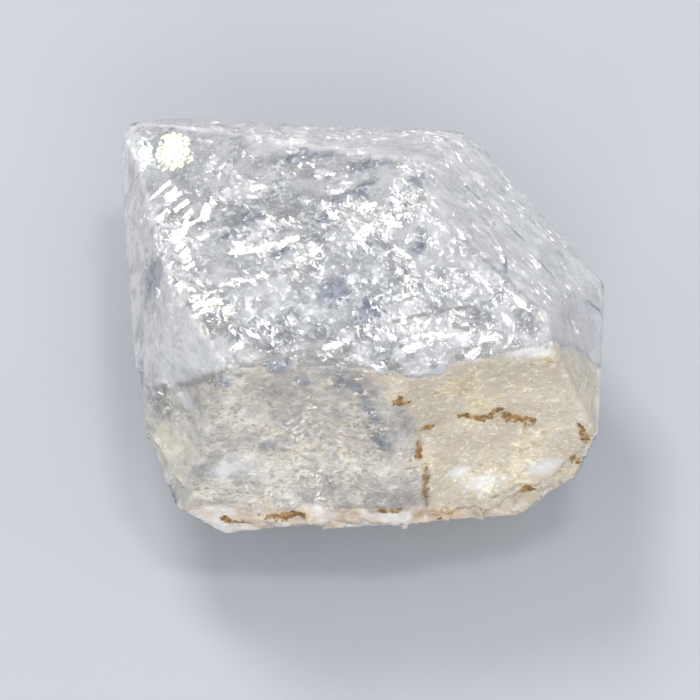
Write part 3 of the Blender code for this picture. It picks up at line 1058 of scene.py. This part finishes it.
def rock_crystal(look):
    """Natural quartz, grown faces and broken ones.

    Grown quartz is clear and glossy with a mosaic of low facets, so it shows white glints beside
    grey windows. Broken quartz with clay in it is satin and lets less light through. Worn edges
    are frosted white.
    """
    material, tree, output = empty_material("quartz_grown_and_broken")
    place = add_node(tree, "ShaderNodeTexCoord").outputs["Object"]
    clay, warm, olive, rim, milk, frost, iron, crack, satin, dusk = (
        add_node(tree, "ShaderNodeAttribute", attribute_name=name).outputs["Fac"] for name in MARKS
    )
    fine = noise(tree, place, 0.9, Detail=6.0)
    coarse = noise(tree, place, 3.2, Detail=4.0)
    ragged = noise(tree, place, 0.45, Detail=8.0, Roughness=0.7)
    layered = vectors(tree, "MULTIPLY", place, (0.55, 1.0, 1.7))
    layered = noise(tree, layered, 1.6, Detail=8.0, Roughness=0.7)
    strokes = vectors(tree, "MULTIPLY", place, (0.8, 0.8, 1.6))
    strokes = noise(tree, strokes, 0.36, Detail=3.0, Distortion=1.2)
    spread = remap(tree, coarse, 0.38, 0.62)
    layers = remap(tree, layered, 0.40, 0.60)
    specks = remap(tree, fine, 0.60, 0.70)
    darker = remap(tree, ragged, 0.46, 0.60)
    # Pale strokes: white flecks in the clear quartz, and painted glints where they lie on the clay.
    flecks_and_glints = remap(tree, strokes, 0.57, 0.64)
    deep = remap(tree, strokes, 0.46, 0.38)

    # The clay's edge is broken up where it is grey, and the iron's edge is ragged.
    uneven = weighed_sum(tree, 0.0, (fine, 0.35), (coarse, 0.65))
    breakup = weighed_most(tree, remap(tree, uneven, 0.42, 0.56, to_low=0.45), (warm, 0.80))
    clay_share = arithmetic(tree, "MULTIPLY", clay, breakup)
    stain = remap(tree, weighed_sum(tree, iron, (ragged, 3.0)), 2.04, 2.28)

    grey_clay = overlaid(
        tree,
        mixed(tree, spread, 0xCDBDA2, 0xECE3D2),
        (layers, 0.35, 0xB7A78A),
        # Painted glints: pale strokes on the grey clay.
        (flecks_and_glints, 0.85, 0xF6F3EE),
        (deep, 0.80, 0x84745C),
    )
    warm_clay = overlaid(
        tree,
        mixed(tree, spread, look.clay, 0xDACDB2),
        (layers, 0.45, 0xB9A67E),
        (specks, 0.55, 0x9C8C6C),
        # Painted glints, fainter on the warm clay.
        (flecks_and_glints, 0.35, 0xF2EBDD),
        (deep, 0.40, 0x9A8763),
    )
    clay_tone = overlaid(
        tree,
        mixed(tree, warm, grey_clay, warm_clay),
        # Painted shade: the darker band just below the clay's upper edge.
        (dusk, 0.62, mixed(tree, warm, 0x8B7F72, 0xA08A66)),
        (olive, 0.45, 0xE6E0C8),
        (rim, 1.0, mixed(tree, layers, 0xB39468, 0xDCC8AC)),
    )
    bare = arithmetic(tree, "SUBTRACT", 1.0, clay_share)
    colour = overlaid(
        tree,
        mixed(tree, milk, look.clear, look.milk),
        (clay_share, 1.0, clay_tone),
        (milk, 0.75, look.milk),
        # Frost on worn edges, and painted light on the two ends.
        (frost, 0.85, 0xF4F0F3),
        # White flecks, and painted glints where the strokes lie on clay.
        (flecks_and_glints, 0.40, 0xFFFFFF),
        (arithmetic(tree, "MULTIPLY", deep, bare), 0.20, 0x9C9A9F),
        (iron, 0.45, 0xCDB27C),
        (stain, 1.0, mixed(tree, darker, look.iron, 0x6A4A20)),
        # Dark lines: cracks, and painted shade along the step and the crease.
        (crack, 0.85, 0x5B5348),
    )

    # Whatever dulls the quartz most at a place sets how little light passes there.
    dulling = arithmetic(tree, "MULTIPLY", clay_share, weighed_sum(tree, 0.70, (warm, 0.14)))
    dulls = ((rim, 0.7), (milk, 0.50), (frost, 0.50), (stain, 0.9), (crack, 0.8), (flecks_and_glints, 0.32))
    dulling = weighed_most(tree, dulling, *dulls)
    roughness = weighed_sum(tree, 0.05, (clay_share, 0.28), (frost, 0.16), (satin, 0.18), (milk, 0.10))

    tilt = weighed_sum(tree, 1.0, (satin, -0.50))
    normal = add_node(tree, "ShaderNodeNewGeometry").outputs["Normal"]
    for size, strength in ((0.95, 0.30), (0.38, 0.24)):
        normal = tilted_facets(tree, place, normal, size, arithmetic(tree, "MULTIPLY", tilt, strength))
    height = weighed_sum(tree, fine, (layered, clay))
    bump = {"Height": height, "Normal": normal, "Strength": 0.7, "Distance": 0.12 * MM}
    surface_shader(
        tree,
        output,
        {
            "Base Color": colour,
            "Roughness": roughness,
            "IOR": QUARTZ_IOR,
            "Transmission Weight": arithmetic(tree, "SUBTRACT", 1.0, dulling),
            "Normal": add_node(tree, "ShaderNodeBump", bump).outputs[0],
        },
    )
    tint = {"Color": linear(0xECE8E4), "Density": look.absorption}
    tint = add_node(tree, "ShaderNodeVolumeAbsorption", tint)
    tree.links.new(tint.outputs[0], output.inputs["Volume"])
    return material


def flake_material(name, light, dark, roughness, size, metallic=0.0):
    """Flakes in the quartz: a two-tone colour that changes from flake to flake, with some gloss."""
    material, tree, output = empty_material(name)
    place = add_node(tree, "ShaderNodeTexCoord").outputs["Object"]
    spread = remap(tree, noise(tree, place, size, Detail=3.0), 0.38, 0.62)
    tone = mixed(tree, spread, dark, light)
    surface_shader(tree, output, {"Base Color": tone, "Roughness": roughness, "Metallic": metallic})
    return material


def flakes(name, shell, middles, normals, sizes, stretch, turn, rng, sides=4):
    """Thin flat flakes: each is a ring of corners round its middle, in the plane of its normal.

    Corner i lies at the flake's size times (stretch times cosine, sine) of its angle, with the
    angles and reaches shaken so that no two flakes are alike. A flake with a corner less than the
    margin below the crystal's surface is dropped.
    """
    count = len(middles)
    helper = np.where(np.abs(normals[:, 2:]) < 0.9, [[0.0, 0.0, 1.0]], [[1.0, 0.0, 0.0]])
    first = unit(np.cross(normals, helper))
    second = np.cross(normals, first)
    along = first * np.cos(turn)[:, None] + second * np.sin(turn)[:, None]
    beside = np.cross(normals, along)
    angle = (np.arange(sides) + rng.uniform(-0.28, 0.28, (count, sides))) * 2 * math.pi / sides
    reach = sizes[:, None] * rng.uniform(0.65, 1.0, (count, sides))
    corners = (
        middles[:, None, :]
        + (reach * np.cos(angle) * stretch[:, None])[:, :, None] * along[:, None, :]
        + (reach * np.sin(angle))[:, :, None] * beside[:, None, :]
    )
    return inner_quads(name, shell, corners)


def inner_quads(name, shell, corners):
    """One mesh of flat flakes from their corners, less those that come too near the surface."""
    count, sides, _ = corners.shape
    inside = room(shell, corners.reshape(-1, 3)).reshape(count, sides).min(axis=1) > FLAKE_MARGIN
    corners = corners[inside]
    faces = np.arange(len(corners) * sides).reshape(-1, sides)
    return new_mesh(name, corners.reshape(-1, 3), faces)


def scattered(name, shell, middles, planes, size, spread, limits, stretches, rng, turn=None):
    """Flakes whose sizes spread by a log-normal law, turned every way or about one turn."""
    amount = len(middles)
    sizes = rng.lognormal(math.log(size), spread, amount).clip(*limits)
    stretch = rng.uniform(*stretches, amount)
    turns = rng.normal(*turn, amount) if turn else rng.uniform(0, 2 * math.pi, amount)
    return flakes(name, shell, middles, planes, sizes, stretch, turns, rng)


def near_faces(shell, names, count, depths, rng):
    """Random points below the named faces, denser towards the surface, with their face.

    Directions from the centre are even over the sphere, and more than are wanted, since many miss
    the named faces. Each is followed out to the surface and then in along its face's normal, by
    the lesser of the depths plus a squared share of the rest.
    """
    directions = unit(rng.normal(size=(count * TRIES, 3)))
    face = plane_lengths(directions)[0].argmin(axis=1)
    wanted = np.flatnonzero(np.isin(np.array(FACE_NAMES)[face], names))[:count]
    below = depths[0] + (depths[1] - depths[0]) * rng.uniform(size=len(wanted)) ** 2
    face = face[wanted]
    return under_surface(shell, CENTRE + directions[wanted], below, face), face


def begin(context, feature):
    """The random numbers of a feature inside the quartz, and the crystal's surface."""
    return np.random.default_rng(SEEDS[feature]), shell_of(context.scene.crystal_form)


def dress(piece, material):
    """Give a piece its finish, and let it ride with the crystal."""
    piece.data.materials.append(material)
    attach(piece, BODY)


def towards_lamp(faces, lamp):
    """Normals that throw a lamp's light to the photograph's camera from just below the faces.

    In air that is the direction half-way between the two. Inside quartz it leans from the face's
    own normal by less: the lean over the refractive index.
    """
    half_way = unit(unit(lamp) + TO_VIEW)
    return unit(NORMALS[faces] + (half_way - NORMALS[faces]) / QUARTZ_IOR)


class QUARTZ_OT_surface(bpy.types.Operator):
    """Grow the crystal's outer surface in place of the plain solid"""

    bl_idname = "quartz.surface"
    bl_label = "Crystal surface"

    def execute(self, context):
        shell = shell_of(context.scene.crystal_form)
        marks = surface_marks(shell.points, shell.order, shell.gap)
        piece = new_mesh("crystal_surface", shell.points, shell.quads, marks, smooth=True)
        dress(piece, rock_crystal(context.scene.quartz_look))
        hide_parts(CRYSTAL_NODE)
        return {"FINISHED"}


class QUARTZ_OT_veils(bpy.types.Operator):
    """Hang white veils of tiny fluid flakes inside the quartz"""

    bl_idname = "quartz.veils"
    bl_label = "White veils"

    def execute(self, context):
        rng, shell = begin(context, "veils")
        count = context.scene.inclusions.veil_flakes
        middles, _ = near_faces(shell, GROWN_FACES + LOWER_FACES, count, VEIL_DEPTHS, rng)
        cloud = grain(middles, 2.2, 21) + 0.6 * grain(middles, 0.9, 23)
        column, row = pixels_of(middles).T
        band = smooth_step(row, *VEIL_ROWS) * (row < clay_boundary(column))
        middles = middles[(cloud > 0.15 - 0.38 * band) & (window_share(middles) < WINDOW_EDGE)]
        amount = len(middles)
        # Healed cracks lie along the upper faces, more or less.
        grown = NORMALS[rng.integers(1, 7, amount)]
        planes = unit(grown + rng.normal(scale=0.35, size=(amount, 3)))
        shape = {"size": 0.13, "spread": 0.5, "limits": (0.05, 0.42), "stretches": (1.0, 2.6)}
        piece = scattered("white_veils", shell, middles, planes, **shape, rng=rng)
        # Fluid and gas films in healed cracks scatter light: near white, with a soft gloss.
        dress(piece, flake_material("healed_crack_films", 0xF2F3F5, 0xD9DCE2, 0.35, 0.6))
        return {"FINISHED"}


class QUARTZ_OT_glints(bpy.types.Operator):
    """Set mirror-bright growth films just below the faces"""

    bl_idname = "quartz.glints"
    bl_label = "Glints"

    def execute(self, context):
        rng, shell = begin(context, "glints")
        # A gas film in quartz mirrors nearly all light that meets it at a low angle: bright
        # silver under the grown faces, warm white among the clay.
        silver = flake_material("mirror_films", 0xFFFFFF, 0xFFFCF4, 0.18, 0.8, metallic=0.85)
        warm = flake_material("mirror_films_in_clay", 0xFFF8E8, 0xCFC2AE, 0.25, 0.5, metallic=0.6)
        shape = {"size": 0.11, "spread": 0.45, "limits": (0.05, 0.34), "stretches": (1.6, 4.0)}
        # Each set's name, faces, share of the glints, threshold, lamp and material.
        for name, names, share, threshold, lamp, material in (
            ("bright_glints", ("top", "apex_main", "apex_left", "prism_left"), 1.0, 0.20, KEY_PLACE, silver),
            ("bevel_glints", ("prism_right", "end_right", "apex_back"), 0.45, 0.20, KEY_PLACE, silver),
            ("front_glints", ("front_left", "prism_left"), 0.70, 0.15, FRONT_PLACE, warm),
            ("beige_glints", ("front_right",), 0.20, 0.45, FRONT_PLACE, warm),
        ):
            count = int(share * context.scene.inclusions.glints)
            middles, face = near_faces(shell, names, count, GLINT_DEPTHS, rng)
            spread = grain(middles, 1.5, 25) + 0.7 * grain(middles, 0.6, 27)
            crowd = glint_density(pixels_of(middles)) if name == "bright_glints" else 0.5
            keep = (spread > threshold + 0.38 - 0.76 * crowd) & (window_share(middles) < WINDOW_EDGE)
            middles, face = middles[keep], face[keep]
            shaken = rng.normal(scale=0.15, size=(len(middles), 3))
            planes = unit(towards_lamp(face, lamp) + shaken)
            piece = scattered(name, shell, middles, planes, **shape, rng=rng, turn=(0.6, 0.35))
            dress(piece, material)
        return {"FINISHED"}


def patch_flakes(shell, spots, rng):
    """Points, faces and turns of flakes spread evenly over turned rectangles on the crystal.

    Each spot is a pixel, a half-length, a half-width, a turn in the face's plane and a depth. It gets
    a few flakes and more by its area, spread evenly over the rectangle of its half-axes.
    """
    pixels, half_lengths, half_widths, turns, depths = (np.array(column) for column in zip(*spots))
    surface, face = on_crystal(pixels)
    amounts = WINDOW_FILMS[0] + WINDOW_FILMS[1] * half_lengths * half_widths
    spot = np.repeat(np.arange(len(spots)), amounts.astype(int))
    turn = np.radians(turns)[spot]
    face = face[spot]
    along = ACROSS[face] * np.cos(turn)[:, None] + UPSLOPE[face] * np.sin(turn)[:, None]
    beside = np.cross(NORMALS[face], along)
    share, other = rng.uniform(-0.88, 0.88, (2, len(spot)))
    middles = (
        surface[spot]
        + along * (share * half_lengths[spot])[:, None]
        + beside * (other * half_widths[spot])[:, None]
    )
    depth = depths[spot] + rng.uniform(0, 0.3, len(spot))
    return under_surface(shell, middles, depth, face), face, turn


class QUARTZ_OT_windows(bpy.types.Operator):
    """Lay slate-grey films flat below the faces as healed breaks, painted shade for the dark seen through
    them
    """

    bl_idname = "quartz.windows"
    bl_label = "Slate windows"

    def execute(self, context):
        rng, shell = begin(context, "windows")
        middles, face, turn = patch_flakes(shell, WINDOWS, rng)
        amount = len(middles)
        planes = unit(NORMALS[face] + rng.normal(scale=0.10, size=(amount, 3)))
        sizes = rng.uniform(0.12, 0.30, amount)
        stretch = rng.uniform(1.0, 2.2, amount)
        turn = turn + rng.normal(0, 0.3, amount)
        piece = flakes("slate_windows", shell, middles, planes, sizes, stretch, turn, rng, sides=5)
        # A healed break seen edge-on passes the dark behind it; here that dark is painted shade:
        # grey films with a glassy sheen.
        dress(piece, flake_material("healed_breaks", 0xB6BCCA, 0x8A93A8, 0.15, 0.7))
        return {"FINISHED"}


def planes_at(name, shell, pixels, half_lengths, half_widths, turns, depths, rng):
    """Flat quads that the photograph shows at given pixels, sunk below the faces they are seen on.

    Half-axes run along a direction turned in the picture. They are followed to the crystal's plane
    as sight lines, then laid square to the direction that catches the key light. A corner is the
    middle plus or minus the shaken half-axes.
    """
    turns = np.radians(turns)
    along = np.stack([np.cos(turns), -np.sin(turns)], axis=1) * (half_lengths / MM_PER_PIXEL)[:, None]
    beside = np.stack([np.sin(turns), np.cos(turns)], axis=1) * (half_widths / MM_PER_PIXEL)[:, None]
    middle, face = on_crystal(pixels)
    lean = unit(towards_lamp(face, KEY_PLACE) + rng.normal(scale=0.05, size=(len(pixels), 3)))
    axes = []
    for offset in (along, beside):
        axis = on_crystal(pixels + offset)[0] - middle
        axes.append(axis - lean * (axis * lean).sum(axis=1, keepdims=True))
    middle = under_surface(shell, middle, depths, face)
    signs = np.array([[1, 1], [-1, 1], [-1, -1], [1, -1]])
    shares = signs * rng.uniform(0.70, 1.0, (len(pixels), 4, 2))
    corners = middle[:, None] + shares[:, :, :1] * axes[0][:, None] + shares[:, :, 1:] * axes[1][:, None]
    return inner_quads(name, shell, corners)


def picture_spread(pixel, half_length, half_width, turn, inner, outer, amount, rng):
    """Pixels spread evenly over a turned ellipse in the picture, between two shares of its reach."""
    reach = np.sqrt(rng.uniform(inner**2, outer**2, amount)) * rng.uniform(0.7, 1.15, amount) / MM_PER_PIXEL
    around = rng.uniform(0, 2 * math.pi, amount)
    along, beside = reach * np.cos(around) * half_length, reach * np.sin(around) * half_width
    return np.array(pixel) + np.stack(turned(along, beside, turn), axis=1)


class QUARTZ_OT_bars(bpy.types.Operator):
    """Set the bright growth bars and planes that the photograph shows one by one"""

    bl_idname = "quartz.bars"
    bl_label = "Growth bars and planes"

    def execute(self, context):
        rng, shell = begin(context, "bars")
        middles, turns = [], []
        for pixel, half_length, half_width, turn in FLASHES:
            amount = int(PLANE_FILMS[0] + PLANE_FILMS[1] * half_length * half_width)
            middles.append(picture_spread(pixel, half_length, half_width, turn, 0.0, 0.9, amount, rng))
            turns.append(rng.normal(turn, 9.0, amount))
        plain = sum(map(len, middles))
        for start, end, count in BAR_ROWS:
            share = (np.arange(count) + 0.5) / count
            share = share[rng.uniform(size=count) > 0.15, None]
            row = np.array(start) * (1 - share) + np.array(end) * share
            middles.append(row + rng.normal(scale=1.2, size=row.shape))
            turns.append(rng.normal(BAR_RISE, 5.0, len(row)))
        middles, turns = np.concatenate(middles), np.concatenate(turns)
        amount = len(middles)
        growth = np.where(np.arange(amount) < plain, 1.0, BAR_GROWTH)
        lengths = rng.uniform(0.20, 0.50, amount) * growth
        widths = rng.uniform(0.07, 0.16, amount) * growth
        depths = rng.uniform(0.14, 0.32, amount)
        piece = planes_at("growth_bars", shell, middles, lengths, widths, turns, depths, rng)
        # Flat growth planes throw the lamps straight back: white with a faint warm cast.
        dress(piece, flake_material("growth_planes", 0xFFFFFF, 0xFFF8E4, 0.25, 0.8, metallic=0.9))
        return {"FINISHED"}


class QUARTZ_OT_flares(bpy.types.Operator):
    """Place the two coloured flares near the crystal's point"""

    bl_idname = "quartz.flares"
    bl_label = "Flares"

    def execute(self, context):
        rng, shell = begin(context, "flares")
        # A film a few hundred nanometres thick throws back one colour, and white where it is
        # thickest: a white heart with a green or a yellow fringe.
        for name, (pixel, radius), inner, outer, shallowest, colour in (
            ("green_flare_heart", GREEN_FLARE, 0.0, 0.75, 0.10, 0xFFFFFF),
            ("yellow_flare_heart", YELLOW_FLARE, 0.0, 0.75, 0.10, 0xFFFFFA),
            ("green_flare_fringe", GREEN_FLARE, 0.3, 1.5, 0.20, 0xE2F7EA),
            ("yellow_flare_fringe", YELLOW_FLARE, 0.3, 1.5, 0.20, 0xFBF4C6),
        ):
            middles = picture_spread(pixel, radius, radius, 0.0, inner, outer, FLARE_FILMS, rng)
            lengths = rng.uniform(0.10, 0.24, FLARE_FILMS)
            widths = rng.uniform(0.06, 0.14, FLARE_FILMS)
            turns = rng.normal(BAR_RISE, 30.0, FLARE_FILMS)
            depths = shallowest + rng.uniform(0.0, 0.16, FLARE_FILMS)
            piece = planes_at(name, shell, middles, lengths, widths, turns, depths, rng)
            dress(piece, flake_material(name + "_film", colour, colour, 0.3, 0.5, metallic=0.8))
        return {"FINISHED"}


class QUARTZ_OT_clay(bpy.types.Operator):
    """Scatter clay flakes through the broken lower half"""

    bl_idname = "quartz.clay"
    bl_label = "Clay"

    def execute(self, context):
        rng, shell = begin(context, "clay")
        names = BROKEN_FACES + ("low_front", "prism_left", "low_front_left", "low_end")
        middles, _ = near_faces(shell, names, context.scene.inclusions.clay_flakes, CLAY_DEPTHS, rng)
        cloud = grain(middles, 2.0, 29) + 0.5 * grain(middles, 0.8, 33)
        column, row = pixels_of(middles).T
        middles = middles[(cloud > -0.15) & (row > clay_boundary(column) - 6.0)]
        planes = unit(rng.normal(size=(len(middles), 3)))
        shape = {"size": 0.11, "spread": 0.5, "limits": (0.04, 0.35), "stretches": (1.0, 2.0)}
        piece = scattered("clay_flakes", shell, middles, planes, **shape, rng=rng)
        # Clay trapped between growth layers: dull tan, with lighter and greyer patches.
        dress(piece, flake_material("trapped_clay", 0xF0E6D0, 0xB8A98C, 0.7, 1.2))
        return {"FINISHED"}


def soft_box(name, place, width, height, power, colour):
    """Add one rectangular soft light that faces the crystal."""
    light = bpy.data.lights.new(name, "AREA")
    light.shape = "RECTANGLE"
    light.size, light.size_y = width * MM, height * MM
    light.energy = power
    light.color = colour
    lamp = bpy.data.objects.new(name, light)
    lamp.location = Vector(place) * MM
    lamp.rotation_euler = (Vector(LIT_POINT) - Vector(place)).to_track_quat("-Z", "Y").to_euler()
    bpy.context.scene.collection.objects.link(lamp)


def floor_paint(colour):
    """Matt painted board: one pale colour with the faintest unevenness."""
    material, tree, output = empty_material("matt_painted_board")
    place = add_node(tree, "ShaderNodeTexCoord").outputs["Object"]
    tone = arithmetic(tree, "MULTIPLY", noise(tree, place, 40.0), 0.06)
    surface_shader(tree, output, {"Base Color": mixed(tree, tone, colour, 0xFFFFFF), "Roughness": 0.85})
    return material


class QUARTZ_OT_stage(bpy.types.Operator):
    """Set the floor, the soft lights and the photograph's camera"""

    bl_idname = "quartz.stage"
    bl_label = "Stage"

    def execute(self, context):
        stage = context.scene.stage_form
        corners = np.array([[-1, -1, 0], [1, -1, 0], [1, 1, 0], [-1, 1, 0]]) * FLOOR_HALF_WIDTH
        corners[:, 2] = CAD_LOW[2] / MM - FLOOR_DROP
        floor = new_mesh("floor", corners, np.array([[0, 1, 2, 3]]))
        floor.data.materials.append(floor_paint(stage.floor_colour))
        floor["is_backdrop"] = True
        world = bpy.data.worlds.new("studio")
        world.use_nodes = True
        background = world.node_tree.nodes["Background"]
        background.inputs["Color"].default_value = linear(0xEDF0F5)
        background.inputs["Strength"].default_value = stage.sky
        context.scene.world = world
        context.scene.view_settings.view_transform = "Standard"
        for name, place, width, height, power, colour in SOFT_BOXES:
            soft_box(name, place, width, height, getattr(stage, power), colour)
        self.add_camera(context)
        return {"FINISHED"}

    def add_camera(self, context):
        """Stand the camera where the photograph was taken from."""
        back = Vector(TO_VIEW)
        data = bpy.data.cameras.new("photo_camera")
        data.sensor_width = SENSOR_WIDTH
        data.lens = SENSOR_WIDTH * VIEW_DISTANCE / (MM_PER_PIXEL * PHOTO_PIXELS)
        data.clip_start = 0.01
        camera = bpy.data.objects.new("photo_camera", data)
        camera.location = (Vector(VIEW_TARGET) + back * VIEW_DISTANCE) * MM
        camera.rotation_euler = back.to_track_quat("Z", "Y").to_euler()
        context.scene.collection.objects.link(camera)
        context.scene.camera = camera


class QUARTZ_PT_panel(bpy.types.Panel):
    """Lists the crystal's settings and operators"""

    bl_label = "Elestial quartz"
    bl_idname = "QUARTZ_PT_panel"
    bl_space_type = "VIEW_3D"
    bl_region_type = "UI"
    bl_category = "Quartz"

    def draw(self, context):
        for name, group in GROUPS.items():
            box = self.layout.box()
            for setting in group.__annotations__:
                box.prop(getattr(context.scene, name), setting)
        for operator in OPERATORS:
            self.layout.operator(operator.bl_idname)


OPERATORS = (
    QUARTZ_OT_surface,
    QUARTZ_OT_veils,
    QUARTZ_OT_glints,
    QUARTZ_OT_windows,
    QUARTZ_OT_bars,
    QUARTZ_OT_flares,
    QUARTZ_OT_clay,
    QUARTZ_OT_stage,
)
GROUPS = {
    "crystal_form": CrystalForm,
    "quartz_look": QuartzLook,
    "inclusions": InclusionForm,
    "stage_form": StageForm,
}


def register():
    """Register the property groups, the operators and the panel."""
    for name, group in GROUPS.items():
        bpy.utils.register_class(group)
        setattr(bpy.types.Scene, name, PointerProperty(type=group))
    for operator in OPERATORS:
        bpy.utils.register_class(operator)
    bpy.utils.register_class(QUARTZ_PT_panel)


def unregister():
    """Remove everything that register added."""
    bpy.utils.unregister_class(QUARTZ_PT_panel)
    for operator in reversed(OPERATORS):
        bpy.utils.unregister_class(operator)
    for name, group in reversed(GROUPS.items()):
        delattr(bpy.types.Scene, name)
        bpy.utils.unregister_class(group)


def main():
    """Build every piece in order."""
    register()
    bpy.ops.quartz.surface()
    bpy.ops.quartz.veils()
    bpy.ops.quartz.glints()
    bpy.ops.quartz.windows()
    bpy.ops.quartz.bars()
    bpy.ops.quartz.flares()
    bpy.ops.quartz.clay()
    bpy.ops.quartz.stage()


if __name__ == "__main__":
    main()
